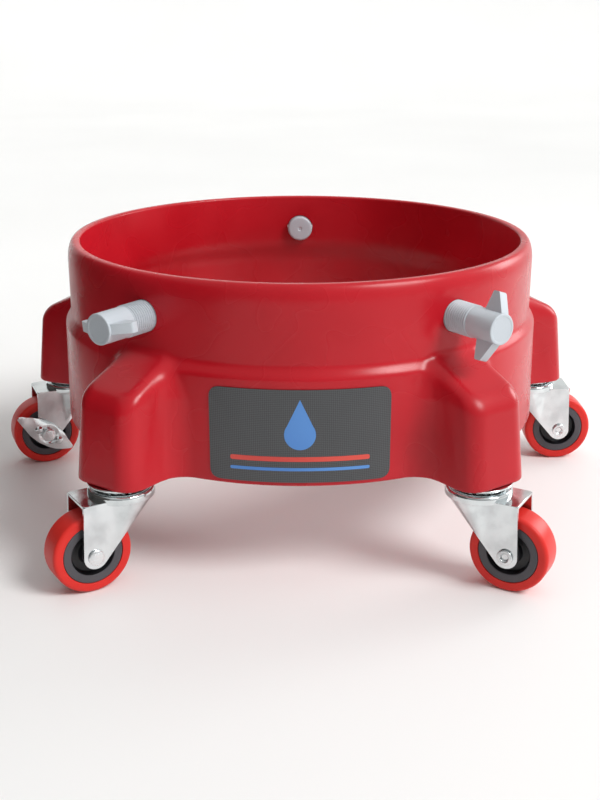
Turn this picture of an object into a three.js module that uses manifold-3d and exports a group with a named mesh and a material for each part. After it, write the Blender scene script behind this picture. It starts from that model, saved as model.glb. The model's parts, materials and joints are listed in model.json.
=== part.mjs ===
// Wheeled bucket dolly: a moulded ring on five swivel casters, with three wing screws
// that clamp a round wash bucket standing inside the ring.
// Millimetres, +Z up. The origin is on the floor under the middle of the whole dolly. The
// odd leg reaches back, so the ring's own axis stands a little in front of the origin.

import * as THREE from 'three';
import { mergeVertices } from 'three/addons/utils/BufferGeometryUtils.js';
import Module from 'manifold-3d';

const wasm = await Module();
wasm.setup();

// ---------------------------------------------------------------- driving dimensions

const WHEEL_RADIUS = 25.4;
const WHEEL_WIDTH = 19;
const CASTER_HEIGHT = 67.5;
const TRAIL = 24;

const RING_HEIGHT = 123;
const RING_BORE_RADIUS = 152.4;
const RING_WALL = 8.6;
const LEDGE_RADIUS = 118;
const FLOOR_THICKNESS = 7;

const RING_FORWARD = 25;

const LEG_COUNT = 5;
const LEG_HALF_WIDTH = 24.5;
const LEG_TIP_RADIUS = 206.5;
const KINGPIN_CIRCLE_RADIUS = 187.5;

const SCREW_HEIGHT = 164.5;
const SCREW_THREAD_RADIUS = 10;
const SCREW_HEAD_END = 199.5;
const PAD_FACE_RADIUS = 147;

const FORK_HALF_WIDTH = 14;
const FORK_SHEET = 2;
const BALL_RADIUS = 1.9;

// The gap between neighbouring pieces, and the clearance of a shaft in its hole.
const GAP = 0.3;
const RUNNING = 0.15;

// Facets round a pin, round a hub or race, and round a wheel.
const SMALL_ROUND = 10;
const MEDIUM_ROUND = 18;
const LARGE_ROUND = 24;

const RING_BASE = CASTER_HEIGHT;
const RING_TOP = RING_BASE + RING_HEIGHT;
const UPPER_BAND_RADIUS = RING_BORE_RADIUS + RING_WALL;
const SECTOR = 360 / LEG_COUNT;

// Each caster stands under a leg, and swing is the direction its wheel trails in.
// A braked caster has a rocker lever, and brakeAngle is how far that leans up from level.
const CASTERS = [
  { name: 'front_left', leg: 234, swing: 211 },
  { name: 'front_right', leg: 306, swing: 331 },
  { name: 'rear_right', leg: 18, swing: 1, brakeAngle: 60 },
  { name: 'rear', leg: 90, swing: 118 },
  { name: 'rear_left', leg: 162, swing: 202, brakeAngle: 35 },
];

// Each wing screw goes through the upper band over a leg, and turn is how far its wings lean.
const SCREWS = [
  { name: 'left', angle: 234, turn: 98 },
  { name: 'right', angle: 306, turn: -19 },
  { name: 'rear', angle: 90, turn: 40 },
];

const radians = THREE.MathUtils.degToRad;

// ---------------------------------------------------------------- materials

const finish = (color, roughness, metalness) => () =>
  new THREE.MeshStandardMaterial({ color, roughness, metalness });

const redPlastic = finish(0xb3141f, 0.35, 0);
const labelFilm = finish(0x3a3d42, 0.3, 0);
const redTread = finish(0xd9332a, 0.4, 0);
const darkHub = finish(0x3b3a3e, 0.5, 0);
const brightZinc = finish(0xc3c8c8, 0.3, 1);
const greyPlastic = finish(0xbfc5ca, 0.5, 0);

// ---------------------------------------------------------------- helpers

function addMesh(parent, name, geometry, material) {
  const mesh = new THREE.Mesh(geometry, material);
  mesh.name = name;
  parent.add(mesh);
}

function toSolid(geometry) {
  const bare = geometry.clone();
  bare.deleteAttribute('normal');
  bare.deleteAttribute('uv');
  const welded = mergeVertices(bare, 1e-4);
  return new wasm.Manifold(new wasm.Mesh({
    numProp: 3,
    vertProperties: new Float32Array(welded.attributes.position.array),
    triVerts: new Uint32Array(welded.index.array),
  }));
}

function toGeometry(solid) {
  const mesh = solid.getMesh();
  const geometry = new THREE.BufferGeometry();
  geometry.setAttribute('position', new THREE.BufferAttribute(mesh.vertProperties, 3));
  geometry.setIndex(new THREE.BufferAttribute(mesh.triVerts, 1));
  geometry.computeVertexNormals();
  return geometry;
}

const joined = (...geometries) =>
  toGeometry(geometries.map(toSolid).reduce((sum, part) => sum.add(part)));

const cut = (geometry, ...cutters) =>
  toGeometry(cutters.map(toSolid).reduce((rest, part) => rest.subtract(part), toSolid(geometry)));

// A closed outline of [radius, height] points, turned about the Y axis.
function turned(outline, segments, phase = 0) {
  const points = [...outline, outline[0]].map(([r, y]) => new THREE.Vector2(r, y));
  return new THREE.LatheGeometry(points, segments, phase);
}

// The same, standing on the Z axis or lying on the X axis.
const turnedUpright = (outline, segments) => turned(outline, segments).rotateX(Math.PI / 2);
const turnedAlongX = (outline, segments) => turned(outline, segments).rotateZ(-Math.PI / 2);

// A Shape in x and z made into a plate from y = near to y = far.
function plateAcrossY(shape, near, far) {
  const flat = new THREE.ExtrudeGeometry(shape, {
    depth: far - near, bevelEnabled: false, curveSegments: 5,
  });
  return flat.rotateX(Math.PI / 2).translate(0, far, 0);
}

// A Shape in x and y made into a plate from z = low to z = high.
function plateAcrossZ(shape, low, high) {
  const flat = new THREE.ExtrudeGeometry(shape, {
    depth: high - low, bevelEnabled: false, curveSegments: 14,
  });
  return flat.translate(0, 0, low);
}

const polygon = (points) => new THREE.Shape(points.map(([x, y]) => new THREE.Vector2(x, y)));

function rodAlongY(radius, from, to, segments) {
  const rod = new THREE.CylinderGeometry(radius, radius, to - from, segments);
  return rod.translate(0, (from + to) / 2, 0);
}

function rodAlongX(radius, from, to, segments) {
  return rodAlongY(radius, from, to, segments).rotateZ(-Math.PI / 2);
}

function rodAlongZ(radius, from, to, segments) {
  return rodAlongY(radius, from, to, segments).rotateX(Math.PI / 2);
}

// ---------------------------------------------------------------- moulded ring with legs

// Heights of the ring's features, and the slopes that let it leave its mould.
const SHOULDER_LOW = 133.5;
const SHOULDER_HIGH = 142.5;
const LOWER_BAND_RADIUS = 166;
const LOWER_BAND_DRAFT = 1 / 65;
const RIM_START = 177.5;
const RIM_CROWN_RADIUS = 156.3;
const LEG_TIP_DRAFT = 0.095;
const LEG_SIDE_DRAFT = 0.04;
const LEG_TOP_AT_BAND = 140.3;
const LEG_TOP_SLOPE = 0.445;
const LEG_CORNER_RADIUS = 12;
const LEG_EDGE_RADIUS = 8;

// The largest of several distances, rounded off where they meet.
function roundedMax(distances, radius) {
  const largest = Math.max(...distances);
  const over = Math.hypot(...distances.map((d) => Math.max(d + radius, 0)));
  return largest < -radius ? largest : over - radius;
}

const roundedMin = (distances, radius) => -roundedMax(distances.map((d) => -d), radius);

// The ring's outer radius at a height below the rim: a lower band, a shoulder, an upper band.
function bandRadius(z) {
  const rise = THREE.MathUtils.smoothstep(z, SHOULDER_LOW, SHOULDER_HIGH);
  const lower = LOWER_BAND_RADIUS - (z - RING_BASE) * LOWER_BAND_DRAFT;
  return THREE.MathUtils.lerp(lower, UPPER_BAND_RADIUS, rise);
}

// How far the point u out along a leg, v across it and z high lies outside the leg.
function legDistance(u, v, z) {
  const tip = u - LEG_TIP_RADIUS + (z - RING_BASE) * LEG_TIP_DRAFT;
  const side = Math.abs(v) - LEG_HALF_WIDTH + (z - RING_BASE) * LEG_SIDE_DRAFT;
  const topHeight = LEG_TOP_AT_BAND - (u - UPPER_BAND_RADIUS) * LEG_TOP_SLOPE;
  const top = (z - topHeight) / Math.hypot(1, LEG_TOP_SLOPE);
  return roundedMax([roundedMax([tip, side], LEG_CORNER_RADIUS), top], LEG_EDGE_RADIUS);
}

// The radius of the ring's outer face, legs included, at an angle from a leg's middle.
// A wide fillet joins each leg's sides to the band, and a narrow one joins its top.
function outerRadius(angleFromLeg, z) {
  const fillet = THREE.MathUtils.mapLinear(
    THREE.MathUtils.clamp(z, 118, 140), 118, 140, 14, 5);
  const [cos, sin] = [Math.cos(radians(angleFromLeg)), Math.sin(radians(angleFromLeg))];
  let [inside, outside] = [RING_BORE_RADIUS, LEG_TIP_RADIUS + 10];
  for (let halving = 0; halving < 30; halving += 1) {
    const r = (inside + outside) / 2;
    const distance = roundedMin([r - bandRadius(z), legDistance(r * cos, r * sin, z)], fillet);
    if (distance > 0) outside = r;
    else inside = r;
  }
  return (inside + outside) / 2;
}

// The rim's section, from the top of the upper band over the crown and down into the bore.
function rimSection() {
  const crown = [20, 42, 64, 90].map((angle) => [
    RIM_CROWN_RADIUS + (UPPER_BAND_RADIUS - RIM_CROWN_RADIUS) * Math.cos(radians(angle)),
    RIM_START + (RING_TOP - RIM_START) * Math.sin(radians(angle)),
  ]);
  return [
    [UPPER_BAND_RADIUS, RIM_START],
    ...crown,
    [RING_BORE_RADIUS + 1, RING_TOP - 0.4],
    [RING_BORE_RADIUS, RING_TOP - 1.4],
  ];
}

// The bore follows the outside's shoulder, and ends in the ledge that the bucket stands on.
const BORE_SECTION = [
  [RING_BORE_RADIUS, SHOULDER_HIGH + 8],
  [RING_BORE_RADIUS + 4, SHOULDER_LOW + 6],
  [RING_BORE_RADIUS + 4.8, RING_BASE + FLOOR_THICKNESS + 2],
  [RING_BORE_RADIUS + 2.8, RING_BASE + FLOOR_THICKNESS],
  [LEDGE_RADIUS, RING_BASE + FLOOR_THICKNESS],
  [LEDGE_RADIUS, RING_BASE],
];

// The outer face is a grid: columns crowd together where a leg's side leaves the band.
const OUTER_HEIGHTS = [RING_BASE, 108, 115, 120, 126, 132, 136, 140, 144];
const HALF_SECTOR_ANGLES = [0, 4, 6, 7.5, 9.2, 12, 18, 27];

function ringBlank() {
  const steps = [...HALF_SECTOR_ANGLES, SECTOR / 2];
  const sectorAngles = [...steps.slice(1).reverse().map((a) => -a), ...HALF_SECTOR_ANGLES];
  const columns = [];
  for (const { leg } of CASTERS) {
    for (const angle of sectorAngles) columns.push({ leg, angle });
  }
  columns.sort((a, b) => (a.leg + a.angle) - (b.leg + b.angle));

  const fixed = [...rimSection(), ...BORE_SECTION];
  const rows = OUTER_HEIGHTS.length + fixed.length;
  const positions = [];
  for (const { leg, angle } of columns) {
    const outer = OUTER_HEIGHTS.map((z) => [outerRadius(angle, z), z]);
    const around = radians(leg + angle);
    for (const [r, z] of [...outer, ...fixed]) {
      positions.push(r * Math.cos(around), r * Math.sin(around), z);
    }
  }

  const faces = [];
  columns.forEach((_, column) => {
    const here = column * rows;
    const next = ((column + 1) % columns.length) * rows;
    for (let row = 0; row < rows; row += 1) {
      const above = (row + 1) % rows;
      faces.push(here + row, next + row, next + above);
      faces.push(here + row, next + above, here + above);
    }
  });

  const geometry = new THREE.BufferGeometry();
  geometry.setAttribute('position', new THREE.Float32BufferAttribute(positions, 3));
  geometry.setIndex(faces);
  return geometry;
}

// A hollow in each leg, open to the bore, where the caster's nut is reached.
function legPocket(leg) {
  const side = polygon([
    [RING_BORE_RADIUS - 3, RING_BASE + FLOOR_THICKNESS],
    [LEG_TIP_RADIUS - 7.5, RING_BASE + FLOOR_THICKNESS],
    [LEG_TIP_RADIUS - 10.5, 110],
    [RING_BORE_RADIUS - 3, 114],
  ]);
  return plateAcrossY(side, -17, 17).rotateZ(radians(leg));
}

function ringShell() {
  const stemHoles = CASTERS.map(({ leg }) =>
    rodAlongZ(STEM_RADIUS + GAP, RING_BASE - 1, RING_BASE + FLOOR_THICKNESS + 1, SMALL_ROUND)
      .translate(KINGPIN_CIRCLE_RADIUS, 0, 0).rotateZ(radians(leg)));
  const screwHoles = SCREWS.map(({ angle }) =>
    rodAlongX(SCREW_THREAD_RADIUS + GAP, RING_BORE_RADIUS - 3, UPPER_BAND_RADIUS + 3, LARGE_ROUND)
      .translate(0, 0, SCREW_HEIGHT).rotateZ(radians(angle)));
  const pockets = CASTERS.map(({ leg }) => legPocket(leg));
  return cut(ringBlank(), ...pockets, ...stemHoles, ...screwHoles);
}

// ---------------------------------------------------------------- front label

const LABEL_HALF_WIDTH = 54.5;
const LABEL_LOW = 70.5;
const LABEL_HIGH = 129;
const LABEL_CORNER = 7;
const LABEL_THICKNESS = 0.5;

function roundedRectangle(halfWidth, low, high, corner) {
  const shape = new THREE.Shape();
  shape.moveTo(halfWidth, low + corner);
  shape.absarc(halfWidth - corner, high - corner, corner, 0, Math.PI / 2);
  shape.absarc(-halfWidth + corner, high - corner, corner, Math.PI / 2, Math.PI);
  shape.absarc(-halfWidth + corner, low + corner, corner, Math.PI, Math.PI * 1.5);
  shape.absarc(halfWidth - corner, low + corner, corner, Math.PI * 1.5, Math.PI * 2);
  return shape;
}

// A curved film: a thin conical sleeve over the lower band, trimmed to a rounded rectangle.
function frontLabel() {
  const [low, high] = [LABEL_LOW - 2, LABEL_HIGH + 2];
  const inner = (z) => bandRadius(z) + GAP;
  const sleeve = turnedUpright([
    [inner(low), low],
    [inner(low) + LABEL_THICKNESS, low],
    [inner(high) + LABEL_THICKNESS, high],
    [inner(high), high],
  ], 72);
  const outline = roundedRectangle(LABEL_HALF_WIDTH, LABEL_LOW, LABEL_HIGH, LABEL_CORNER);
  const trim = plateAcrossY(outline, -LOWER_BAND_RADIUS - 5, -LOWER_BAND_RADIUS + 25);
  return toGeometry(toSolid(sleeve).intersect(toSolid(trim)));
}

// ---------------------------------------------------------------- casters

// Heights in a caster, from the wheel's axle up to the leg's underside.
const FORK_TOP = 59.5;
const RACE_TOP = CASTER_HEIGHT - GAP;
const RACE_BOTTOM = FORK_TOP + 2 * BALL_RADIUS + 2 * GAP;
const SWIVEL_RADIUS = 20.8;
const BALL_CIRCLE_RADIUS = 13.5;
const STEM_RADIUS = 5;
const STEM_TOP = 90;
const STEM_HEAD_RADIUS = 8;
const NUT_FLATS = 17;
const NUT_HEIGHT = 8;

const AXLE_RADIUS = 3.2;
const AXLE_HEAD_RADIUS = 5;
const SLEEVE_RADIUS = 5;
const HUB_RADIUS = 19;
const HUB_LIP_RADIUS = 14;
const LEVER_SHEET = 1.6;

// The fixed race: a pressed washer under the leg that the balls run against.
const upperRace = () => turnedUpright([
  [STEM_RADIUS + GAP, RACE_BOTTOM - 2],
  [BALL_CIRCLE_RADIUS - 4.5, RACE_BOTTOM - 2],
  [BALL_CIRCLE_RADIUS - 3.5, RACE_BOTTOM],
  [SWIVEL_RADIUS - 1, RACE_BOTTOM],
  [SWIVEL_RADIUS, RACE_BOTTOM + 1],
  [SWIVEL_RADIUS, RACE_TOP],
  [STEM_RADIUS + GAP, RACE_TOP],
], MEDIUM_ROUND);

// The row of balls between the races, drawn as one ring.
const ballRing = () => new THREE.TorusGeometry(BALL_CIRCLE_RADIUS, BALL_RADIUS, 6, 16)
  .translate(0, 0, FORK_TOP + GAP + BALL_RADIUS);

// The kingpin bolt: its head carries the fork, and its shank goes up through the leg's floor.
function kingpinBolt() {
  const headTop = FORK_TOP - FORK_SHEET - GAP;
  return turnedUpright([
    [0, headTop - 3],
    [STEM_HEAD_RADIUS - 1.5, headTop - 3],
    [STEM_HEAD_RADIUS, headTop - 2],
    [STEM_HEAD_RADIUS, headTop],
    [STEM_RADIUS, headTop],
    [STEM_RADIUS, STEM_TOP - 1],
    [STEM_RADIUS - 1, STEM_TOP],
    [0, STEM_TOP],
  ], SMALL_ROUND);
}

function mountingNut() {
  const low = RING_BASE + FLOOR_THICKNESS + GAP;
  const hexagon = rodAlongZ(NUT_FLATS / Math.sqrt(3), low, low + NUT_HEIGHT, 6);
  return cut(hexagon, rodAlongZ(STEM_RADIUS + GAP, low - 1, low + NUT_HEIGHT + 1, SMALL_ROUND));
}

// One side of the fork: it runs from the round top down and back to the axle.
function forkCheek(side) {
  const end = 7.7;
  const shape = new THREE.Shape();
  shape.moveTo(-15, FORK_TOP - 0.5);
  shape.lineTo(TRAIL + 6, FORK_TOP - 0.5);
  shape.absarc(TRAIL, WHEEL_RADIUS, end, radians(8), radians(-138), true);
  const outer = side * FORK_HALF_WIDTH;
  const inner = side * (FORK_HALF_WIDTH - FORK_SHEET);
  return plateAcrossY(shape, Math.min(inner, outer), Math.max(inner, outer));
}

function fork() {
  const flange = new THREE.Shape();
  flange.absarc(0, 0, SWIVEL_RADIUS, Math.PI * 0.25, Math.PI * 1.75);
  flange.lineTo(TRAIL + 6, -FORK_HALF_WIDTH);
  flange.lineTo(TRAIL + 6, FORK_HALF_WIDTH);
  const top = plateAcrossZ(flange, FORK_TOP - FORK_SHEET, FORK_TOP);
  const cup = turnedUpright([
    [BALL_CIRCLE_RADIUS + BALL_RADIUS + GAP, FORK_TOP - 1],
    [SWIVEL_RADIUS, FORK_TOP - 1],
    [SWIVEL_RADIUS, RACE_BOTTOM - 1.8],
    [SWIVEL_RADIUS - 1, RACE_BOTTOM - 0.8],
    [BALL_CIRCLE_RADIUS + BALL_RADIUS + GAP, RACE_BOTTOM - 0.8],
  ], MEDIUM_ROUND);
  const shell = joined(top, cup, forkCheek(1), forkCheek(-1));
  const kingpinHole = rodAlongZ(STEM_RADIUS + GAP, FORK_TOP - 4, FORK_TOP + 1, SMALL_ROUND);
  const axleHole = rodAlongY(AXLE_RADIUS + GAP, -20, 20, SMALL_ROUND)
    .translate(TRAIL, 0, WHEEL_RADIUS);
  return cut(shell, kingpinHole, axleHole);
}

// The axle rivet has a head outside each cheek, and one head stands off to hold a lever.
function axle(braked) {
  const near = -(FORK_HALF_WIDTH + GAP);
  const far = FORK_HALF_WIDTH + GAP + (braked ? LEVER_SHEET + GAP : 0);
  return turned([
    [0, near - 1.5],
    [AXLE_HEAD_RADIUS - 1, near - 1.5],
    [AXLE_HEAD_RADIUS, near - 0.6],
    [AXLE_HEAD_RADIUS, near],
    [AXLE_RADIUS, near],
    [AXLE_RADIUS, far],
    [AXLE_HEAD_RADIUS, far],
    [AXLE_HEAD_RADIUS, far + 0.6],
    [AXLE_HEAD_RADIUS - 1, far + 1.5],
    [0, far + 1.5],
  ], SMALL_ROUND);
}

// The sleeve is clamped between the cheeks, and the wheel turns on it.
function axleSleeve() {
  const end = FORK_HALF_WIDTH - FORK_SHEET - GAP;
  return turned([
    [AXLE_RADIUS + GAP, -end],
    [SLEEVE_RADIUS, -end],
    [SLEEVE_RADIUS, end],
    [AXLE_RADIUS + GAP, end],
  ], SMALL_ROUND);
}

// The hub's bore runs on the sleeve. Its rim is wide and its middle is recessed.
function wheelHub() {
  const half = WHEEL_WIDTH / 2;
  const bore = SLEEVE_RADIUS + RUNNING;
  const section = [
    [bore, half + 1.5],
    [bore, -half - 1.5],
    [bore + 2.5, -half - 1.5],
    [bore + 2.5, -4],
    [HUB_LIP_RADIUS - 1, -4],
    [HUB_LIP_RADIUS, -half + 0.3],
    [HUB_RADIUS, -half + 0.3],
  ];
  const mirrored = section.slice(2).reverse().map(([r, y]) => [r, -y]);
  return turned([...section, ...mirrored], MEDIUM_ROUND);
}

// The tread is tyred over the hub, flat across the middle with rounded shoulders.
// Its flats touch the floor, so the polygon is drawn round the true circle.
function wheelTread() {
  const grow = 1 / Math.cos(Math.PI / LARGE_ROUND);
  const half = WHEEL_WIDTH / 2;
  const seat = (HUB_RADIUS + GAP) * grow;
  return turned([
    [seat, half],
    [seat, -half],
    [(WHEEL_RADIUS - 3.5) * grow, -half],
    [(WHEEL_RADIUS - 1) * grow, -half + 1.5],
    [WHEEL_RADIUS * grow, -half + 4],
    [WHEEL_RADIUS * grow, half - 4],
    [(WHEEL_RADIUS - 1) * grow, half - 1.5],
    [(WHEEL_RADIUS - 3.5) * grow, half],
  ], LARGE_ROUND, Math.PI / LARGE_ROUND);
}

// The brake's rocker: a pressed leaf on the axle rivet, long end up and back.
function brakeLever(brakeAngle) {
  const shape = new THREE.Shape();
  shape.moveTo(28, 0);
  shape.quadraticCurveTo(14, 9.5, 0, 9.8);
  shape.quadraticCurveTo(-12, 9.5, -21, 0);
  shape.quadraticCurveTo(-12, -9.5, 0, -9.8);
  shape.quadraticCurveTo(14, -9.5, 28, 0);
  const near = FORK_HALF_WIDTH + GAP;
  const leaf = plateAcrossY(shape, near, near + LEVER_SHEET);
  const hole = rodAlongY(AXLE_RADIUS + GAP, near - 1, near + LEVER_SHEET + 1, SMALL_ROUND);
  return cut(leaf, hole).rotateY(-radians(brakeAngle)).translate(TRAIL, 0, WHEEL_RADIUS);
}

function addCaster(parent, { name, leg, swing, brakeAngle }) {
  const mount = new THREE.Group();
  const kingpin = new THREE.Vector3(KINGPIN_CIRCLE_RADIUS, 0, 0);
  mount.position.copy(kingpin.applyAxisAngle(new THREE.Vector3(0, 0, 1), radians(leg)));
  mount.rotation.z = radians(swing);
  parent.add(mount);
  addMesh(mount, `${name}_upper_race`, upperRace(), brightZinc());
  addMesh(mount, `${name}_kingpin_bolt`, kingpinBolt(), brightZinc());
  addMesh(mount, `${name}_mounting_nut`, mountingNut(), brightZinc());
  addMesh(mount, `${name}_ball_ring`, ballRing(), brightZinc());
  addMesh(mount, `${name}_fork`, fork(), brightZinc());

  const wheelCentre = new THREE.Group();
  wheelCentre.position.set(TRAIL, 0, WHEEL_RADIUS);
  mount.add(wheelCentre);
  addMesh(wheelCentre, `${name}_axle`, axle(brakeAngle !== undefined), brightZinc());
  addMesh(wheelCentre, `${name}_axle_sleeve`, axleSleeve(), brightZinc());
  addMesh(wheelCentre, `${name}_wheel_hub`, wheelHub(), darkHub());
  addMesh(wheelCentre, `${name}_wheel_tread`, wheelTread(), redTread());
  if (brakeAngle !== undefined) {
    addMesh(mount, `${name}_brake_lever`, brakeLever(brakeAngle), brightZinc());
  }
}

// ---------------------------------------------------------------- wing screws

const HUB_START = 179;
const NECK_RADIUS = 3;
const PAD_THICKNESS = 4.3;
const WING_SPAN = 21;
const WING_THICKNESS = 6.2;

// A threaded shank with a plain hub and two swept wings. Its neck carries the pad.
function wingScrew(turn) {
  const threadStart = PAD_FACE_RADIUS + PAD_THICKNESS + GAP;
  const shank = turnedAlongX([
    [0, PAD_FACE_RADIUS + 2 + GAP],
    [NECK_RADIUS, PAD_FACE_RADIUS + 2 + GAP],
    [NECK_RADIUS, threadStart],
    [SCREW_THREAD_RADIUS - 0.8, threadStart],
    [SCREW_THREAD_RADIUS, threadStart + 1.2],
    [SCREW_THREAD_RADIUS, HUB_START],
    [SCREW_THREAD_RADIUS - 0.5, HUB_START],
    [SCREW_THREAD_RADIUS - 0.5, SCREW_HEAD_END - 0.8],
    [SCREW_THREAD_RADIUS - 1.3, SCREW_HEAD_END],
    [0, SCREW_HEAD_END],
  ], MEDIUM_ROUND);
  const wings = plateAcrossY(polygon([
    [SCREW_HEAD_END - 12, WING_SPAN],
    [SCREW_HEAD_END - 16.5, 0],
    [SCREW_HEAD_END - 12, -WING_SPAN],
    [SCREW_HEAD_END - 7.5, -WING_SPAN],
    [SCREW_HEAD_END - 1.5, -SCREW_THREAD_RADIUS + 1],
    [SCREW_HEAD_END - 1.5, SCREW_THREAD_RADIUS - 1],
    [SCREW_HEAD_END - 7.5, WING_SPAN],
  ]), -WING_THICKNESS / 2, WING_THICKNESS / 2);
  return joined(shank, wings).rotateX(radians(turn));
}

// The pad snaps over the screw's neck and stays still while the screw turns.
const clampPad = () => turnedAlongX([
  [0, PAD_FACE_RADIUS],
  [SCREW_THREAD_RADIUS - 1.6, PAD_FACE_RADIUS],
  [SCREW_THREAD_RADIUS - 0.5, PAD_FACE_RADIUS + 0.4],
  [SCREW_THREAD_RADIUS - 0.1, PAD_FACE_RADIUS + 1.4],
  [SCREW_THREAD_RADIUS - 0.1, PAD_FACE_RADIUS + PAD_THICKNESS - 0.6],
  [SCREW_THREAD_RADIUS - 0.7, PAD_FACE_RADIUS + PAD_THICKNESS],
  [NECK_RADIUS + GAP, PAD_FACE_RADIUS + PAD_THICKNESS],
  [NECK_RADIUS + GAP, PAD_FACE_RADIUS + 2],
  [0, PAD_FACE_RADIUS + 2],
], MEDIUM_ROUND);

function addScrew(parent, { name, angle, turn }) {
  const line = new THREE.Group();
  line.position.z = SCREW_HEIGHT;
  line.rotation.z = radians(angle);
  parent.add(line);
  addMesh(line, `${name}_wing_screw`, wingScrew(turn), greyPlastic());
  addMesh(line, `${name}_clamp_pad`, clampPad(), greyPlastic());
}

// ---------------------------------------------------------------- assembly

const dolly = new THREE.Group();
dolly.position.y = -RING_FORWARD;
addMesh(dolly, 'ring_shell', ringShell(), redPlastic());
addMesh(dolly, 'front_label', frontLabel(), labelFilm());
CASTERS.forEach((caster) => addCaster(dolly, caster));
SCREWS.forEach((screw) => addScrew(dolly, screw));

export default dolly;
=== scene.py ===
"""The looks of a wheeled bucket dolly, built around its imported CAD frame.

Shapes are written in millimetres with the ring's axis as the Z axis, and placed in the
frame in metres. Every fine piece has the size and place of the CAD node that it replaces.
"""

import json
import math

import bmesh
import bpy
import numpy as np
from mathutils import Matrix, Vector

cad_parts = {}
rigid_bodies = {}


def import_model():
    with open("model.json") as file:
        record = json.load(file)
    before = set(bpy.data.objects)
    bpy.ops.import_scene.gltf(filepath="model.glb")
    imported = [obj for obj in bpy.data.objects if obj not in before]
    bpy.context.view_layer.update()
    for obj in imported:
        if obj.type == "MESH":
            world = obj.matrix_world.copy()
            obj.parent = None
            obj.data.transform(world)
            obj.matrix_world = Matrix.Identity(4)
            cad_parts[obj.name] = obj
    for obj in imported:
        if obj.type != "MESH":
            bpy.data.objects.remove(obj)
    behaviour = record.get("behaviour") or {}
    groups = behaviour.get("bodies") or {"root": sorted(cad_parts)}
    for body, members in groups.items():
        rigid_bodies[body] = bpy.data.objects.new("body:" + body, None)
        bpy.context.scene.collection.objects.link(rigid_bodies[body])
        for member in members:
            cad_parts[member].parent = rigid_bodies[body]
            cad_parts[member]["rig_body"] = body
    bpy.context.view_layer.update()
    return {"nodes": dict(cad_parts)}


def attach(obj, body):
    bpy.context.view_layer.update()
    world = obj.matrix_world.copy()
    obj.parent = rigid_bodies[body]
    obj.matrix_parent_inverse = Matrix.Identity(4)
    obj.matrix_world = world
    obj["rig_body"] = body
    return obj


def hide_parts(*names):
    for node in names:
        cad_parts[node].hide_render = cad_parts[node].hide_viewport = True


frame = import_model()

# ------------------------------------------------------------------ dimensions, mm

RING_FORWARD = 25
RING_BASE, RING_TOP = 67.5, 190.5
BORE, UPPER_BAND, LOWER_BAND = 152.4, 161, 166
SHOULDER_LOW, SHOULDER_HIGH = 133.5, 142.5
RIM_START, RIM_CROWN = 177.5, 156.3
LEDGE, LEDGE_HEIGHT = 118, 74.5
LEG_TIP, LEG_HALF_WIDTH, LEG_WALL = 206.5, 24.5, 7.5
LEG_TIP_DRAFT, LEG_SIDE_DRAFT = 0.095, 0.04
LEG_ROOF_HEIGHT, LEG_ROOF_SLOPE = 140.3, 0.445
LEG_CORNER, LEG_BROW = 12, 8
KINGPIN_CIRCLE = 187.5
GAP = 0.3

WHEEL_RADIUS, WHEEL_HALF_WIDTH, TRAIL = 25.4, 9.5, 24
HUB_RADIUS, HUB_LIP = 19, 14
FORK_TOP, FORK_SHEET, FORK_HALF_WIDTH = 59.5, 2, 14
SWIVEL_RADIUS, BALL_CIRCLE, BALL_RADIUS = 20.8, 13.5, 1.9
RACE_BOTTOM = FORK_TOP + 2 * BALL_RADIUS + 2 * GAP
AXLE_RADIUS, RIVET_HEAD = 3.2, 5
KINGPIN_RADIUS, NUT_FLATS, NUT_HEIGHT = 5, 17, 8
LEVER_SHEET, LEVER_CROWN = 1.6, 1.3
BOSS_RADIUS, BOSS_HEIGHT, BOSS_OFFSET = 3.5, 2.9, 9
CREASE_TOP = 12.5

SCREW_HEIGHT, SCREW_PITCH, THREAD_RADIUS, THREAD_DEPTH = 164.5, 1.8, 10, 1.5
PAD_FACE, PAD_THICKNESS = 147, 4.3
HUB_START, HEAD_END = 179, 199.5
WING_SPAN, WING_THICKNESS = 21, 6.2

LABEL_HALF_WIDTH, LABEL_LOW, LABEL_HIGH = 54.5, 70.5, 129
FILM_SHEET, INK_SHEET = 0.5, 0.09

# Name, leg angle, swing angle, and the brake lever's lean where there is one.
CASTERS = [
    ("front_left", 234, 211, None),
    ("front_right", 306, 331, None),
    ("rear_right", 18, 1, 60),
    ("rear", 90, 118, None),
    ("rear_left", 162, 202, 35),
]
SCREWS = [("left", 234, 98), ("right", 306, -19), ("rear", 90, 40)]

# ------------------------------------------------------------------ placing


def turn(axis, degrees):
    return Matrix.Rotation(math.radians(degrees), 4, axis)


def move(x, y, z):
    return Matrix.Translation((x, y, z))


RING = Matrix.Scale(0.001, 4) @ move(0, -RING_FORWARD, 0)
Z_TO_X = turn("Y", 90)
Z_TO_Y = turn("X", -90)


def caster_place(leg, swing):
    a = math.radians(leg)
    at = move(KINGPIN_CIRCLE * math.cos(a), KINGPIN_CIRCLE * math.sin(a), 0)
    return RING @ at @ turn("Z", swing)


def screw_place(angle):
    return RING @ turn("Z", angle) @ move(0, 0, SCREW_HEIGHT)


# ------------------------------------------------------------------ shapes
# A shape is (points, faces). Its points are rows of x, y, z.


def rounded(points, radius, steps=4, closed=True):
    """The polygon with its corners rounded. radius is one number, or one for each corner."""
    pts = [Vector(p) for p in points]
    radii = [radius] * len(pts) if np.isscalar(radius) else radius
    out = []
    for i, corner in enumerate(pts):
        if radii[i] <= 0 or (not closed and i in (0, len(pts) - 1)):
            out.append(tuple(corner))
            continue
        back, ahead = pts[i - 1] - corner, pts[(i + 1) % len(pts)] - corner
        reach = min(radii[i], 0.48 * back.length, 0.48 * ahead.length)
        start, end = corner + back.normalized() * reach, corner + ahead.normalized() * reach
        for s in range(steps + 1):
            t = s / steps
            out.append(tuple((1 - t) ** 2 * start + 2 * t * (1 - t) * corner + t * t * end))
    return out


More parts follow.
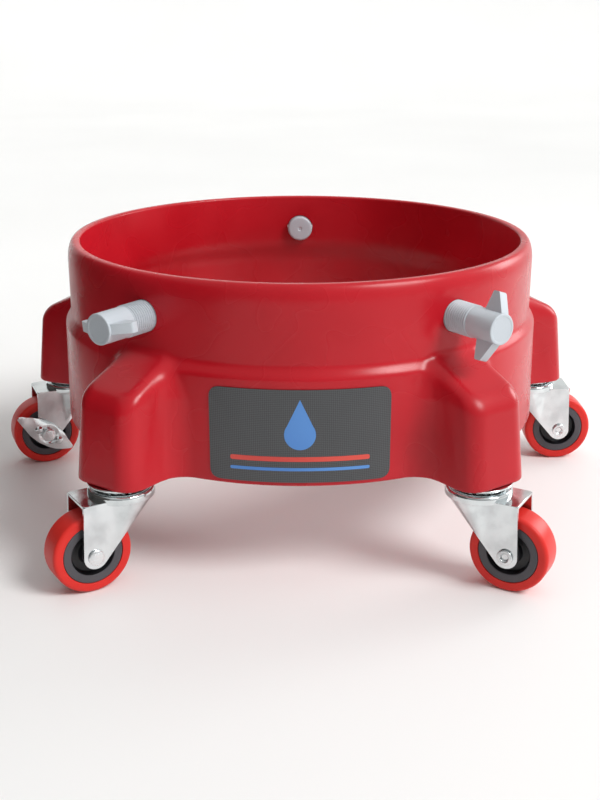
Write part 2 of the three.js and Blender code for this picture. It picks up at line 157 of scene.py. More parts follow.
def lathe(outline, segments=72):
    """A closed outline of (radius, height), turned about Z."""
    outline = np.array(outline, float)
    rows = len(outline)
    around = np.linspace(0, 2 * np.pi, segments, endpoint=False)
    points = np.concatenate([
        np.column_stack([outline[:, 0] * math.cos(a), outline[:, 0] * math.sin(a), outline[:, 1]])
        for a in around
    ])
    return points, grid_faces(segments, rows, True)


def grid_faces(columns, rows, rows_close):
    faces = []
    for c in range(columns):
        here, there = c * rows, ((c + 1) % columns) * rows
        for r in range(rows if rows_close else rows - 1):
            up = (r + 1) % rows
            faces.append((here + r, there + r, there + up, here + up))
    return faces


def plate(outline, near, far, step=None):
    """An outline of (x, z), thickened from y = near to y = far, and sliced every step mm."""
    bm = bmesh.new()
    front = bm.faces.new([bm.verts.new((x, near, z)) for x, z in outline])
    made = bmesh.ops.extrude_face_region(bm, geom=[front])
    top = [v for v in made["geom"] if isinstance(v, bmesh.types.BMVert)]
    bmesh.ops.translate(bm, verts=top, vec=(0, far - near, 0))
    if step:
        for axis in (0, 2):
            low = min(v.co[axis] for v in bm.verts)
            high = max(v.co[axis] for v in bm.verts)
            normal = Vector([float(i == axis) for i in range(3)])
            for at in np.arange(low + step, high, step):
                everything = bm.verts[:] + bm.edges[:] + bm.faces[:]
                bmesh.ops.bisect_plane(bm, geom=everything, plane_co=normal * at, plane_no=normal)
    bmesh.ops.triangulate(bm, faces=[f for f in bm.faces if len(f.verts) > 4])
    bm.verts.index_update()
    shape = np.array([v.co for v in bm.verts]), [tuple(v.index for v in f.verts) for f in bm.faces]
    bm.free()
    return shape


def sphere(radius, centre):
    arc = np.linspace(-np.pi / 2, np.pi / 2, 11)
    points, faces = lathe(np.column_stack([radius * np.cos(arc), radius * np.sin(arc)]), 20)
    return points + np.array(centre), faces


def merged(*shapes):
    points, faces, start = [], [], 0
    for p, f in shapes:
        points.append(p)
        faces += [tuple(i + start for i in face) for face in f]
        start += len(p)
    return np.concatenate(points), faces


def carried(shape, matrix):
    points, faces = shape
    m = np.array(matrix)
    return points @ m[:3, :3].T + m[:3, 3], faces


# ------------------------------------------------------------------ pieces


def mesh_object(name, shape, bevel=0):
    points, faces = shape
    mesh = bpy.data.meshes.new(name)
    mesh.from_pydata([tuple(p) for p in points], [], faces)
    bm = bmesh.new()
    bm.from_mesh(mesh)
    bmesh.ops.remove_doubles(bm, verts=bm.verts, dist=1e-6)
    bmesh.ops.dissolve_degenerate(bm, dist=1e-7, edges=bm.edges)
    axis_wires = [e for e in bm.edges if not e.link_faces]
    bmesh.ops.delete(bm, geom=axis_wires, context="EDGES")
    bmesh.ops.recalc_face_normals(bm, faces=bm.faces)
    if bevel:
        sharp = [e for e in bm.edges if len(e.link_faces) == 2 and e.calc_face_angle(0) > 0.6]
        bmesh.ops.bevel(bm, geom=sharp, offset=bevel, segments=2, affect="EDGES", clamp_overlap=True)
    bm.to_mesh(mesh)
    bm.free()
    obj = bpy.data.objects.new(name, mesh)
    bpy.context.scene.collection.objects.link(obj)
    return obj


def combine(base, others, operation, solver="MANIFOLD"):
    """base with the others added to it or cut from it, less any face of no area."""
    for other in others:
        step = base.modifiers.new(other.name, "BOOLEAN")
        step.operation, step.solver, step.object = operation, solver, other
    bpy.context.view_layer.update()
    whole = bpy.data.meshes.new_from_object(
        base.evaluated_get(bpy.context.evaluated_depsgraph_get()))
    base.modifiers.clear()
    bm = bmesh.new()
    bm.from_mesh(whole)
    bmesh.ops.dissolve_degenerate(bm, dist=2e-6, edges=bm.edges)
    bm.to_mesh(whole)
    bm.free()
    base.data = whole
    for other in others:
        bpy.data.objects.remove(other)
    return base


def piece(obj, node, material, sharp=35):
    """obj becomes the finished piece that stands for a CAD node."""
    obj.data.materials.clear()
    obj.data.materials.append(material)
    for polygon in obj.data.polygons:
        polygon.use_smooth = True
    obj.data.set_sharp_from_angle(angle=math.radians(sharp))
    body = frame["nodes"][node]["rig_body"]
    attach(obj, body)
    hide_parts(node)
    return obj


# ------------------------------------------------------------------ materials


class Nodes:
    """A material's node tree, with short ways to add to it."""

    def __init__(self, name):
        self.material = bpy.data.materials.new(name)
        self.material.use_nodes = True
        self.tree = self.material.node_tree
        self.shader = self.tree.nodes["Principled BSDF"]
        self.coords = self.tree.nodes.new("ShaderNodeTexCoord").outputs["Object"]

    def add(self, kind, **values):
        node = self.tree.nodes.new("ShaderNode" + kind)
        for key, value in values.items():
            setattr(node, key, value)
        return node

    def link(self, out, into):
        self.tree.links.new(out, into)

    def noise(self, scale, detail=3, stretch=(1, 1, 1)):
        mapping = self.add("Mapping")
        mapping.inputs["Scale"].default_value = stretch
        self.link(self.coords, mapping.inputs["Vector"])
        node = self.add("TexNoise")
        node.inputs["Scale"].default_value = scale
        node.inputs["Detail"].default_value = detail
        self.link(mapping.outputs["Vector"], node.inputs["Vector"])
        return node.outputs["Fac"]

    def ramp(self, factor, stops):
        node = self.add("ValToRGB")
        while len(node.color_ramp.elements) < len(stops):
            node.color_ramp.elements.new(0.5)
        for element, (at, colour) in zip(node.color_ramp.elements, stops):
            element.position = at
            element.color = (*colour, 1)
        node.color_ramp.interpolation = "EASE"
        self.link(factor, node.inputs["Fac"])
        return node.outputs["Color"]

    def spread(self, factor, low, high):
        node = self.add("MapRange", interpolation_type="SMOOTHSTEP")
        node.inputs["From Min"].default_value = 0.3
        node.inputs["From Max"].default_value = 0.7
        node.inputs["To Min"].default_value = low
        node.inputs["To Max"].default_value = high
        self.link(factor, node.inputs["Value"])
        return node.outputs["Result"]

    def bump(self, height, strength, distance, below=None):
        node = self.add("Bump")
        node.inputs["Strength"].default_value = strength
        node.inputs["Distance"].default_value = distance
        self.link(height, node.inputs["Height"])
        if below:
            self.link(below, node.inputs["Normal"])
        return node.outputs["Normal"]


def moulded(name, dark, light, rough, grain, grain_depth, **sockets):
    """Plastic or rubber: slow colour drift, worn gloss and a fine moulded grain."""
    n = Nodes(name)
    n.link(n.ramp(n.noise(14, 1), [(0.32, dark), (0.68, light)]), n.shader.inputs["Base Color"])
    n.link(n.spread(n.noise(30, 1), *rough), n.shader.inputs["Roughness"])
    swell = n.bump(n.noise(45, 1), 0.25, 0.0004)
    n.link(n.bump(n.noise(grain, 2), 0.35, grain_depth, swell), n.shader.inputs["Normal"])
    for key, value in sockets.items():
        n.shader.inputs[key.replace("_", " ")].default_value = value
    return n.material


def plated(name, dark, light, rough, streak):
    """Zinc plate on pressed steel: cloudy passivation, drawing streaks and fine scratches."""
    n = Nodes(name)
    n.link(n.ramp(n.noise(70, 6), [(0.3, dark), (0.62, light)]), n.shader.inputs["Base Color"])
    n.link(n.spread(n.noise(220, 4), *rough), n.shader.inputs["Roughness"])
    scratches = n.noise(500, 3, (1, 1, streak))
    n.link(n.bump(scratches, 0.12, 0.00008), n.shader.inputs["Normal"])
    n.shader.inputs["Metallic"].default_value = 1
    return n.material


def woven_film(name):
    """Printed film under a clear coat: a fine diagonal weave of two greys."""
    n = Nodes(name)
    turned = n.add("Mapping")
    turned.inputs["Rotation"].default_value = (0, math.radians(45), 0)
    n.link(n.coords, turned.inputs["Vector"])
    check = n.add("TexChecker")
    check.inputs["Scale"].default_value = 1250
    check.inputs["Color1"].default_value = (0.012, 0.013, 0.015, 1)
    check.inputs["Color2"].default_value = (0.05, 0.053, 0.058, 1)
    flat = n.add("VectorMath", operation="MULTIPLY")
    flat.inputs[1].default_value = (1, 0, 1)
    n.link(turned.outputs["Vector"], flat.inputs[0])
    n.link(flat.outputs["Vector"], check.inputs["Vector"])
    n.link(check.outputs["Color"], n.shader.inputs["Base Color"])
    n.link(n.spread(n.noise(60, 3), 0.3, 0.42), n.shader.inputs["Roughness"])
    n.link(n.bump(check.outputs["Fac"], 0.15, 0.00004), n.shader.inputs["Normal"])
    n.shader.inputs["Coat Weight"].default_value = 0.7
    n.shader.inputs["Coat Roughness"].default_value = 0.12
    return n.material


RED = moulded("red_polyethylene", (0.43, 0.006, 0.013), (0.5, 0.009, 0.018),
              (0.24, 0.33), 1500, 0.000008, Specular_IOR_Level=0.32)
TREAD = moulded("red_urethane", (0.6, 0.022, 0.018), (0.68, 0.03, 0.022),
                (0.3, 0.4), 1100, 0.000008, Specular_IOR_Level=0.25)
HUB = moulded("dark_nylon", (0.05, 0.047, 0.055), (0.075, 0.071, 0.08),
              (0.42, 0.55), 1800, 0.00001)
# Near-black colour for the hub's recess: painted shade inside the lip.
PAINTED_RECESS_SHADE = moulded("painted_recess_shade", (0.006, 0.006, 0.008), (0.013, 0.012, 0.015),
                 (0.4, 0.55), 1800, 0.00001)
GREY = moulded("grey_nylon", (0.47, 0.51, 0.55), (0.53, 0.57, 0.61), (0.36, 0.5), 1700, 0.00001)
BLUE_INK = moulded("blue_ink", (0.06, 0.2, 0.55), (0.09, 0.26, 0.62), (0.3, 0.4), 2500, 0.000005)
RED_INK = moulded("red_ink", (0.6, 0.05, 0.04), (0.68, 0.07, 0.05), (0.3, 0.4), 2500, 0.000005)
ZINC = plated("bright_zinc", (0.6, 0.63, 0.64), (0.76, 0.8, 0.81), (0.1, 0.17), 0.08)
FIXING = plated("zinc_fixing", (0.55, 0.57, 0.58), (0.8, 0.82, 0.83), (0.2, 0.36), 0.3)
WOVEN = woven_film("woven_film")

# ------------------------------------------------------------------ camera

camera = bpy.data.objects.new("camera", bpy.data.cameras.new("camera"))
camera.location = (0, -0.8461, 0.3496)
camera.rotation_euler = (math.radians(70.92), 0, 0)
camera.data.sensor_fit = "HORIZONTAL"
camera.data.sensor_width = 36
camera.data.lens = 70.76
bpy.context.scene.collection.objects.link(camera)
bpy.context.scene.camera = camera

# ------------------------------------------------------------------ ring


def rounded_max(distances, radius):
    """The largest of the distances, with a round edge of that radius where two meet."""
    largest = np.maximum.reduce(distances)
    over = np.sqrt(sum(np.maximum(d + radius, 0) ** 2 for d in distances))
    return np.where(largest < -radius, largest, over - radius)


def band_radius(z):
    """The ring's outer radius between its legs: the lower band, the shoulder, the upper band."""
    t = np.clip((z - SHOULDER_LOW) / (SHOULDER_HIGH - SHOULDER_LOW), 0, 1)
    lower = LOWER_BAND - (z - RING_BASE) / 65
    return lower + (UPPER_BAND - lower) * t * t * (3 - 2 * t)


def leg_distance(u, v, z):
    """How far a point at u out from the axis and v across is outside the leg."""
    tip = u - LEG_TIP + (z - RING_BASE) * LEG_TIP_DRAFT
    side = np.abs(v) - LEG_HALF_WIDTH + (z - RING_BASE) * LEG_SIDE_DRAFT
    over_roof = z - LEG_ROOF_HEIGHT + (u - UPPER_BAND) * LEG_ROOF_SLOPE
    top = over_roof / math.hypot(1, LEG_ROOF_SLOPE)
    return rounded_max([rounded_max([tip, side], LEG_CORNER), top], LEG_BROW)


def outer_radius(angle, z):
    """The outer face's radius at degrees from a leg's middle, for arrays of both."""
    fillet = np.interp(z, [118, 140], [14, 5])
    cos, sin = np.cos(np.radians(angle)), np.sin(np.radians(angle))
    inside, outside = np.full_like(angle, BORE), np.full_like(angle, LEG_TIP + 10)
    for _ in range(30):
        r = (inside + outside) / 2
        d = -rounded_max([band_radius(z) - r, -leg_distance(r * cos, r * sin, z)], fillet)
        inside, outside = np.where(d > 0, inside, r), np.where(d > 0, r, outside)
    return (inside + outside) / 2


def ring_shape(columns=600, base_round=1.6):
    """The ring as a grid: each column goes up its outside, over the rim and down its bore."""
    heights = np.concatenate([
        RING_BASE + base_round * (1 - np.cos(np.radians([0, 30, 60, 90]))),
        np.linspace(72, 105, 9), np.linspace(108, 147, 40), [152, 158, 165, 172],
    ])
    tuck = base_round - heights + RING_BASE
    inside = np.sqrt(base_round ** 2 - np.clip(tuck, 0, base_round) ** 2)
    tuck = np.where(tuck > 0, base_round - inside, 0)
    arc = np.radians(np.linspace(0, 90, 10))
    rim = [(RIM_CROWN + (UPPER_BAND - RIM_CROWN) * math.cos(a),
            RIM_START + (RING_TOP - RIM_START) * math.sin(a)) for a in arc]
    inner = rounded([
        (RIM_CROWN - 0.4, RING_TOP), (BORE, RING_TOP), (BORE, SHOULDER_HIGH + 8),
        (BORE + 4, SHOULDER_LOW + 6), (BORE + 4.8, LEDGE_HEIGHT + 2),
        (BORE + 2.8, LEDGE_HEIGHT), (LEDGE, LEDGE_HEIGHT), (LEDGE, RING_BASE),
    ], [0, 2.2, 9, 9, 2, 1.5, 1.5, 1.5], 4, closed=False)
    fixed = np.array(rim + inner)
    around = np.arange(columns) * 360 / columns
    from_leg = (around - 18 + 36) % 72 - 36
    a, z = np.meshgrid(from_leg, heights, indexing="ij")
    r = outer_radius(a, z) - tuck
    r = np.concatenate([r, np.tile(fixed[:, 0], (columns, 1))], axis=1)
    z = np.concatenate([z, np.tile(fixed[:, 1], (columns, 1))], axis=1)
    around = np.radians(around)[:, None]
    points = np.stack([r * np.cos(around), r * np.sin(around), z], axis=-1).reshape(-1, 3)
    return points, grid_faces(columns, r.shape[1], True)


def rod(radius, low, high, segments=48):
    return lathe([(0, low), (radius, low), (radius, high), (0, high)], segments)


def ring_cutters():
    """A pocket and a kingpin hole in each leg, and a hole for each screw."""
    low = LEDGE_HEIGHT
    pocket = rounded([(BORE - 3, low), (LEG_TIP - LEG_WALL, low), (LEG_TIP - LEG_WALL - 3, 110),
                      (BORE - 3, 114)], [0, 3, 5, 0])
    for _, leg, _, _ in CASTERS:
        yield carried(plate(pocket, -17, 17), turn("Z", leg))
        stem = carried(rod(KINGPIN_RADIUS + GAP, RING_BASE - 1, low + 1), move(KINGPIN_CIRCLE, 0, 0))
        yield carried(stem, turn("Z", leg))
    for _, angle, _ in SCREWS:
        hole = carried(rod(THREAD_RADIUS + GAP, BORE - 3, UPPER_BAND + 3), Z_TO_X)
        yield carried(hole, turn("Z", angle) @ move(0, 0, SCREW_HEIGHT))


ring = mesh_object("moulded_ring", carried(ring_shape(), RING))
cutters = [mesh_object(f"cutter_{i}", carried(s, RING)) for i, s in enumerate(ring_cutters())]
piece(combine(ring, cutters, "DIFFERENCE", "EXACT"), "ring_shell", RED)

# ------------------------------------------------------------------ label


def wrapped(outline, low, high):
    """A flat outline of (x, z), wrapped on the front of the ring from low to high mm off it."""
    points, faces = plate(outline, 0, 1, 2.5)
    r = band_radius(points[:, 2]) + low + (high - low) * (1 - points[:, 1])
    points[:, 1] = -np.sqrt(r ** 2 - points[:, 0] ** 2)
    return carried((points, faces), RING)


def bar(half_width, low, high):
    return [(-half_width, low), (half_width, low), (half_width, high), (-half_width, high)]


label = rounded(bar(LABEL_HALF_WIDTH, LABEL_LOW, LABEL_HIGH), 7, 8)
piece(mesh_object("label_film_sheet", wrapped(label, GAP, GAP + FILM_SHEET)),
      "front_label", WOVEN)


def printed(name, outline, ink):
    """A plain printed mark that rides just clear of the label's face."""
    face = GAP + FILM_SHEET + 0.01
    obj = mesh_object(name, wrapped(outline, face, face + INK_SHEET))
    obj.data.materials.append(ink)
    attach(obj, "root")


def drop_outline(centre, radius, height):
    arc = np.radians(np.linspace(-215, 35, 40))
    low = [(radius * math.cos(a), centre + radius * math.sin(a)) for a in arc]
    return [*low, (0, centre + height)]


printed("label_drop", drop_outline(101, 9.5, 22), BLUE_INK)
printed("label_bar_upper", rounded(bar(42, 84, 87), 1.4), RED_INK)
printed("label_bar_lower", rounded(bar(42, 78, 80), 0.9), BLUE_INK)

# ------------------------------------------------------------------ casters


def cheek(side):
    """One side of the fork. Ahead of its crease it flares out to meet the round top."""
    end_radius = 7.7
    arc = np.radians(np.linspace(8, -138, 22))
    outline = [(-15, FORK_TOP - 0.6), (TRAIL + 6, FORK_TOP - 0.6)]
    outline += [(TRAIL + end_radius * math.cos(a), WHEEL_RADIUS + end_radius * math.sin(a))
                for a in arc]
    near, far = FORK_HALF_WIDTH - FORK_SHEET, FORK_HALF_WIDTH
    points, faces = plate(outline, near, far, 1.5)
    x, z = points[:, 0], points[:, 2]
    apex_x, apex_z = 9.5, 30
    share = np.clip((z - apex_z) / (FORK_TOP - 1 - apex_z), 0, 1)
    top_x = apex_x + (x - apex_x) / np.maximum(share, 0.12)
    edge = np.sqrt(SWIVEL_RADIUS ** 2 - np.clip(top_x, -15.3, 0) ** 2) - FORK_HALF_WIDTH
    facet = np.clip((CREASE_TOP - top_x) / CREASE_TOP, 0, 1)
    flare = np.where(top_x > 0, facet * (SWIVEL_RADIUS - FORK_HALF_WIDTH), edge) * share
    points[:, 1] += np.maximum(flare - 0.5, 0)
    points[:, 1] *= side
    return points, faces


def fork_object(name, place):
    """A pressed fork: a round dome over the balls, a flat top behind it and two cheeks."""
    pin_hole = KINGPIN_RADIUS + GAP
    plan = rounded([(7, -14), (TRAIL + 6, -14), (TRAIL + 6, 14), (7, 14)], [0, 2.5, 2.5, 0])
    top = carried(plate(plan, FORK_TOP - FORK_SHEET, FORK_TOP), Matrix(
        ((1, 0, 0, 0), (0, 0, 1, 0), (0, 1, 0, 0), (0, 0, 0, 1))))
    inside = BALL_CIRCLE + BALL_RADIUS + GAP
    dome = lathe(rounded([
        (pin_hole, FORK_TOP - FORK_SHEET), (SWIVEL_RADIUS, FORK_TOP - FORK_SHEET),
        (SWIVEL_RADIUS, RACE_BOTTOM - 0.8), (inside, RACE_BOTTOM - 0.8),
        (inside, FORK_TOP), (pin_hole, FORK_TOP)], [0, 0.8, 2.4, 0.6, 1, 0.3]), 96)
    parts = [mesh_object(f"{name}_{i}", carried(s, place), b * 0.001) for i, (s, b) in enumerate(
        [(dome, 0), (top, 0.5), (cheek(1), 0.25), (cheek(-1), 0.25)])]
    whole = combine(parts[0], parts[1:], "UNION")
    past_cheeks = 20
    axle_hole = rod(AXLE_RADIUS + GAP, -past_cheeks, past_cheeks)
    hole = carried(axle_hole, place @ move(TRAIL, 0, WHEEL_RADIUS) @ Z_TO_Y)
    return combine(whole, [mesh_object(f"{name}_hole", hole)], "DIFFERENCE")


def axle_shape(braked):
    """A rivet: one end is a plain low head, and the other is rolled over and hollow."""
    near = -(FORK_HALF_WIDTH + GAP)
    far = FORK_HALF_WIDTH + GAP + (LEVER_SHEET + GAP if braked else 0)
    return lathe(rounded([
        (0, near + 0.5), (2.1, near + 0.5), (2.7, near - 1.5), (RIVET_HEAD, near - 1.5),
        (RIVET_HEAD, near), (AXLE_RADIUS, near), (AXLE_RADIUS, far), (RIVET_HEAD, far),
        (RIVET_HEAD, far + 1.1), (3, far + 1.7), (0, far + 1.7)],
        [0, 0.5, 0.9, 1.1, 0.2, 0, 0, 0.2, 0.8, 1.2, 0], 5), 48)


def hub_shape():
    """A rim round a thin web and a boss, the same on both sides."""
    half, bore = WHEEL_HALF_WIDTH, 5.15
    side = [(bore, -half - 1.5), (bore + 2.5, -half - 1.5), (bore + 2.5, -4),
            (HUB_LIP - 1, -4), (HUB_LIP, -half + 0.3), (HUB_RADIUS, -half + 0.3)]
    outline = side + [(r, -h) for r, h in reversed(side)]
    return lathe(rounded(outline, [0.3, 0.6, 1, 1, 0.6, 0.4, 0.4, 0.6, 1, 1, 0.6, 0.3]), 96)


def tread_shape():
    """A band with a very low crown and round shoulders."""
    half, seat = WHEEL_HALF_WIDTH, HUB_RADIUS + GAP
    return lathe(rounded([(seat, -half), (WHEEL_RADIUS - 0.1, -half), (WHEEL_RADIUS, 0),
                          (WHEEL_RADIUS - 0.1, half), (seat, half)],
                         [0.3, 3, 2, 3, 0.3], 8), 128)


def lever_object(name, place, lean):
    """A pressed leaf with curled pointed ends, a flat seat for its axle and a boss on each side."""
    outline = [(28, 1.8), (20, 5.8), (10, 8.4), (0, 8.8), (-9, 7.2), (-15, 3.8), (-21, 1.2),
               (-21, -1.2), (-15, -5.4), (-8, -8.4), (2, -9.2), (12, -7.6), (21, -3.6), (28, -0.8)]
    near = FORK_HALF_WIDTH + GAP
    points, faces = plate(rounded(outline, 3, 4), near, near + LEVER_SHEET, 0.7)
    x, z = points[:, 0], points[:, 2]
    curl = np.clip((np.abs(x + 2) - 15) / 10, 0, 1) ** 2 * 1.2
    seat = np.clip((np.hypot(x, z) - 5.5) / 2.5, 0, 1)
    points[:, 1] += curl + LEVER_CROWN * (1 - (z / 9.2) ** 2) * seat ** 2 * (3 - 2 * seat)
    arc = np.radians(np.linspace(0, 90, 9))
    dome = [(BOSS_RADIUS * math.cos(a), BOSS_HEIGHT * math.sin(a)) for a in arc]
    boss = lathe([(0, 0)] + dome, 40)
    at = place @ move(TRAIL, 0, WHEEL_RADIUS) @ turn("Y", -lean)
    leaf = mesh_object(name, carried((points, faces), at))
    bosses = [mesh_object(f"{name}_{i}", carried(boss, at @ move(x, near + 1.4, 0) @ Z_TO_Y))
              for i, x in enumerate((BOSS_OFFSET, -BOSS_OFFSET))]
    hole = carried(rod(AXLE_RADIUS + GAP, near - 1, near + LEVER_SHEET + 1), at @ Z_TO_Y)
    whole = combine(leaf, bosses, "UNION")
    return combine(whole, [mesh_object(f"{name}_hole", hole)], "DIFFERENCE")


def kingpin_shape():
    top = FORK_TOP - FORK_SHEET - GAP
    r, end = KINGPIN_RADIUS, 90
    return lathe(rounded([(0, top - 3), (8, top - 3), (8, top), (r, top), (r, end), (0, end)],
                         [0, 1.8, 0.3, 0, 1, 0]), 48)


def nut_object(name, place):
    """A hexagon nut with a round bore."""
    low = LEDGE_HEIGHT + GAP
    high = low + NUT_HEIGHT
    solid = mesh_object(name, carried(rod(NUT_FLATS / math.sqrt(3), low, high, 6), place))
    bore = carried(rod(KINGPIN_RADIUS + GAP, low - 1, high + 1), place)
    return combine(solid, [mesh_object(f"{name}_bore", bore)], "DIFFERENCE")


def race_shape():
    """The fixed race: a lipped plate that screws up against the leg."""
    low, top = RACE_BOTTOM, RING_BASE - GAP
    pin_hole, step = KINGPIN_RADIUS + GAP, 17
    return lathe(rounded([
        (pin_hole, low - 2), (BALL_CIRCLE - 4.5, low - 2), (BALL_CIRCLE - 3.5, low),
        (step, low), (step, top - 1.4), (SWIVEL_RADIUS, top - 1.4), (SWIVEL_RADIUS, top),
        (pin_hole, top)], [0, 0.4, 0.4, 0.6, 0.5, 0.5, 0.5, 0]), 96)


def ball_shapes(count=20):
    height = FORK_TOP + GAP + BALL_RADIUS
    for i in range(count):
        a = 2 * math.pi * i / count
        yield sphere(BALL_RADIUS, (BALL_CIRCLE * math.cos(a), BALL_CIRCLE * math.sin(a), height))


def paint_recess_shade(hub, place):
    """The hub's faces inside its lip get a near-black colour, which is painted shade in the recess.
    """
    hub.data.materials.append(PAINTED_RECESS_SHADE)
    back = (place @ move(TRAIL, 0, WHEEL_RADIUS)).inverted()
    for polygon in hub.data.polygons:
        at = back @ polygon.center
        if math.hypot(at.x, at.z) < HUB_LIP - 0.2:
            polygon.material_index = 1


for name, leg, swing, lean in CASTERS:
    place = caster_place(leg, swing)
    wheel = place @ move(TRAIL, 0, WHEEL_RADIUS) @ Z_TO_Y

    def fine(part, shape, material, at=place):
        obj = mesh_object(f"{name}_{part}_fine", carried(shape, at))
        return piece(obj, f"{name}_{part}", material)

    piece(fork_object(f"{name}_fork_fine", place), f"{name}_fork", ZINC)
    fine("upper_race", race_shape(), ZINC)
    fine("ball_ring", merged(*ball_shapes()), ZINC)
    fine("kingpin_bolt", kingpin_shape(), FIXING)
    fine("axle", axle_shape(lean is not None), FIXING, wheel)
    piece(nut_object(f"{name}_mounting_nut_fine", place),
          f"{name}_mounting_nut", FIXING)
    hub = fine("wheel_hub", hub_shape(), HUB, wheel)
    # Paint shade into the hub's recess: the faces inside the lip turn near-black.
    paint_recess_shade(hub, place)
    fine("wheel_tread", tread_shape(), TREAD, wheel)
    if lean is not None:
        lever = lever_object(f"{name}_brake_lever_fine", place, lean)
        piece(lever, f"{name}_brake_lever", ZINC)
    sleeve = frame["nodes"][f"{name}_axle_sleeve"]
    sleeve.data.materials.clear()
    sleeve.data.materials.append(FIXING)

# ------------------------------------------------------------------ wing screws


def thread_shape(around=48, per_turn=12):
    """The shank: a right-hand thread as a height field round the X axis."""
    start, end = PAD_FACE + PAD_THICKNESS + GAP, HUB_START
    rows = int((end - start) / SCREW_PITCH * per_turn)
    along = np.linspace(start, end, rows)
    angle = np.linspace(0, 2 * np.pi, around, endpoint=False)
    a, x = np.meshgrid(angle, along, indexing="ij")
    phase = (x / SCREW_PITCH - a / (2 * np.pi)) % 1
    groove = np.clip((1 - np.abs(phase - 0.5) * 2 - 0.3) / 0.7, 0, 1)
    ends = np.clip(np.minimum(x - start, end - x) / 1.2, 0, 1)
    r = THREAD_RADIUS - THREAD_DEPTH * groove - 0.6 * (1 - ends)
    points = np.stack([x, r * np.cos(a), r * np.sin(a)], axis=-1)
    cap_low = np.tile([start, 0, 0], (around, 1, 1))
    cap_high = np.tile([end + 0.5, 0, 0], (around, 1, 1))
    points = np.concatenate([cap_low, points, cap_high], axis=1)
    return points.reshape(-1, 3), grid_faces(around, rows + 2, False)


def wing_screw_object(name, place, lean):
    """A round head with two flat wings, its threaded shank, and the neck that holds the pad."""
    hub_radius = THREAD_RADIUS - 0.5
    hub = carried(lathe(rounded([
        (0, HUB_START - 1), (hub_radius, HUB_START - 1), (hub_radius, HEAD_END),
        (hub_radius - 1.6, HEAD_END), (hub_radius - 2, HEAD_END - 0.25), (0, HEAD_END - 0.25)],
        [0, 0.3, 0.9, 0.3, 0.3, 0]), 72), Z_TO_X)
    outline = rounded([
        (HEAD_END - 12, WING_SPAN), (HEAD_END - 16.5, 0), (HEAD_END - 12, -WING_SPAN),
        (HEAD_END - 7.5, -WING_SPAN), (HEAD_END - 0.9, -8.6), (HEAD_END - 0.9, 8.6),
        (HEAD_END - 7.5, WING_SPAN)], [1, 2, 1, 1.2, 2, 2, 1.2])
    half = WING_THICKNESS / 2
    wings = plate(outline, -half, half)
    at = place @ turn("X", lean)
    parts = [mesh_object(f"{name}_{i}", carried(s, at), b * 0.001) for i, (s, b) in enumerate(
        [(hub, 0), (wings, 0.6), (thread_shape(), 0)])]
    neck = carried(rod(3, PAD_FACE + 2 + GAP, PAD_FACE + PAD_THICKNESS + 1, 32), Z_TO_X)
    parts.append(mesh_object(f"{name}_neck", carried(neck, at)))
    return combine(parts[0], parts[1:], "UNION")


def pad_shape():
    """A round pad, open at the back for the screw's neck and dimpled in front."""
    edge, back = THREAD_RADIUS - 0.1, PAD_FACE + PAD_THICKNESS
    outline = rounded([
        (0, PAD_FACE + 0.5), (1.3, PAD_FACE + 0.5), (1.8, PAD_FACE), (edge, PAD_FACE),
        (edge, back), (3.3, back), (3.3, PAD_FACE + 2), (0, PAD_FACE + 2)],
        [0, 0.3, 0.3, 2, 0.6, 0.2, 0.2, 0], 5)
    return carried(lathe(outline, 64), Z_TO_X)


for name, angle, lean in SCREWS:
    place = screw_place(angle)
    piece(wing_screw_object(f"{name}_wing_screw_fine", place, lean),
          f"{name}_wing_screw", GREY)
    piece(mesh_object(f"{name}_clamp_pad_fine", carried(pad_shape(), place)),
          f"{name}_clamp_pad", GREY)

# ------------------------------------------------------------------ studio


def backdrop():
    """A pale floor that sweeps up into a wall far behind the object."""
    arc = np.radians(np.linspace(0, 90, 16))
    side = [(-4.0, 0.0)] + [(3.0 + 1.5 * math.sin(a), 1.5 - 1.5 * math.cos(a)) for a in arc]
    side += [(4.5, 5.0)]
    points = np.array([(x, y, z) for x in (-6, 6) for y, z in side])
    n = len(side)
    obj = mesh_object("floor", (points, [(i, i + 1, n + i + 1, n + i) for i in range(n - 1)]))
    for polygon in obj.data.polygons:
        polygon.use_smooth = True
    shade = Nodes("pale_floor")
    tones = [(0.3, (0.84, 0.84, 0.83)), (0.7, (0.87, 0.87, 0.86))]
    shade.link(shade.ramp(shade.noise(1.5, 2), tones), shade.shader.inputs["Base Color"])
    shade.shader.inputs["Roughness"].default_value = 0.6
    obj.data.materials.append(shade.material)


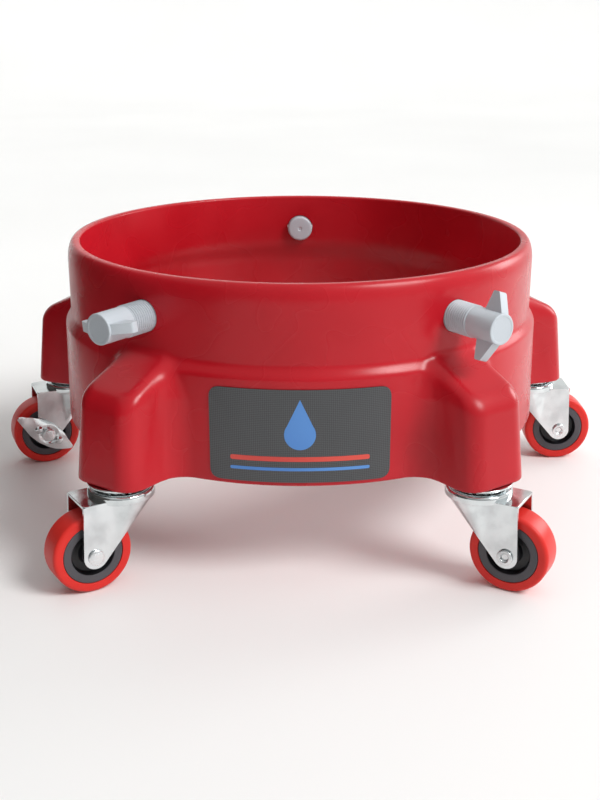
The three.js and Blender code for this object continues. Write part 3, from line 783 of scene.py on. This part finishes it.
def dark_card():
    """A dark card that dims the object's left side, and is unseen by the camera and the lights."""
    corners = [(-0.75, 0.0), (0.3, 0.0), (0.3, 0.5), (-0.75, 0.5)]
    points = np.array([(-0.46, y, z) for y, z in corners])
    card = mesh_object("dark_card", (points, [(0, 1, 2, 3)]))
    card.visible_camera = card.visible_shadow = False
    shade = Nodes("dark_card")
    shade.shader.inputs["Base Color"].default_value = (0.03, 0.025, 0.022, 1)
    shade.shader.inputs["Roughness"].default_value = 0.9
    card.data.materials.append(shade.material)


def aimed(name, data, at, aim):
    light = bpy.data.objects.new(name, data)
    light.location = at
    light.rotation_euler = (Vector(aim) - Vector(at)).to_track_quat("-Z", "Y").to_euler()
    bpy.context.scene.collection.objects.link(light)


def sun(name, at, strength, softness):
    data = bpy.data.lights.new(name, "SUN")
    data.energy, data.angle = strength, math.radians(softness)
    aimed(name, data, at, (0, 0, 0))


def panel(name, at, size, power):
    data = bpy.data.lights.new(name, "AREA")
    data.shape, data.size, data.energy = "SQUARE", size, power
    aimed(name, data, at, (0, 0, 0.1))


def studio_world(toward, dim, bright):
    """Light from all round, dim on one side of the studio and bright toward the other."""
    world = bpy.data.worlds.new("studio")
    world.use_nodes = True
    tree = world.node_tree
    coords = tree.nodes.new("ShaderNodeTexCoord")
    facing = tree.nodes.new("ShaderNodeVectorMath")
    facing.operation = "DOT_PRODUCT"
    facing.inputs[1].default_value = Vector(toward).normalized()
    level = tree.nodes.new("ShaderNodeMapRange")
    level.inputs["From Min"].default_value = -0.75
    level.inputs["To Min"].default_value = dim
    level.inputs["To Max"].default_value = bright
    tree.links.new(coords.outputs["Generated"], facing.inputs[0])
    tree.links.new(facing.outputs["Value"], level.inputs["Value"])
    tree.links.new(level.outputs["Result"], tree.nodes["Background"].inputs["Strength"])
    tree.nodes["Background"].inputs["Color"].default_value = (1, 1, 1, 1)
    bpy.context.scene.world = world


backdrop()
sun("key", (1.5, -0.95, 1.7), 2.2, 24)
panel("side", (1.1, 0.45, 0.5), 0.45, 4)
studio_world((0.5, 0.2, 0.84), 0.02, 0.85)
dark_card()
bpy.context.scene.view_settings.view_transform = "Standard"
